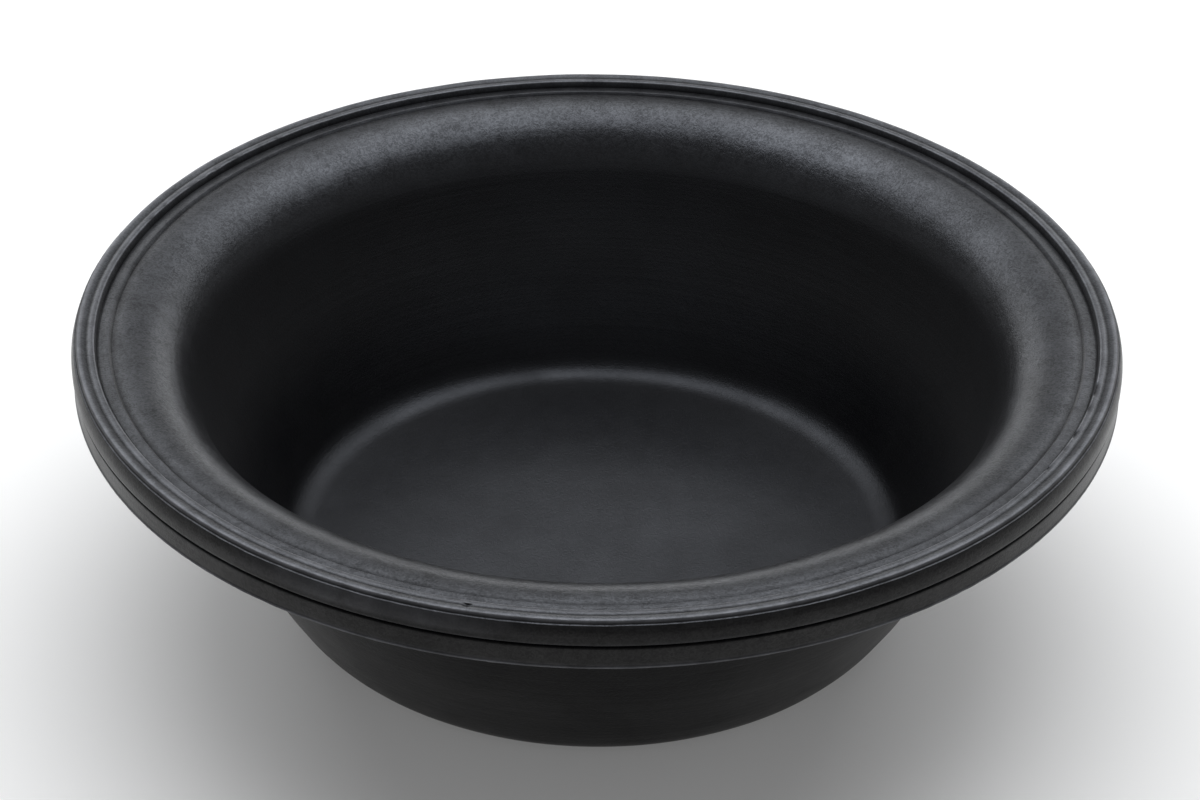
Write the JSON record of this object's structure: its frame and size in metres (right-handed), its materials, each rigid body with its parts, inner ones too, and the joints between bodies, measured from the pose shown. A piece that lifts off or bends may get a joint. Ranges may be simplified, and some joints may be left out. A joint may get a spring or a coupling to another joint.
{
  "type": "rubber diaphragm seal",
  "caption": "Dished black rubber diaphragm moulded whole: flat-bottomed dish, rolled shoulder and beaded flange that is clamped between the halves of a housing.",
  "frame": {"origin": "on the axis of the dish, at the underside of its floor", "axes": "+Z along the axis, from the floor towards the flange and the open mouth"},
  "size_m": [0.2, 0.2, 0.0602],
  "materials": {
    "rubber": "satin moulded rubber with a fine mottled grain"
  },
  "bodies": {
    "root": {"diaphragm": "rubber"}
  },
  "joints": []
}
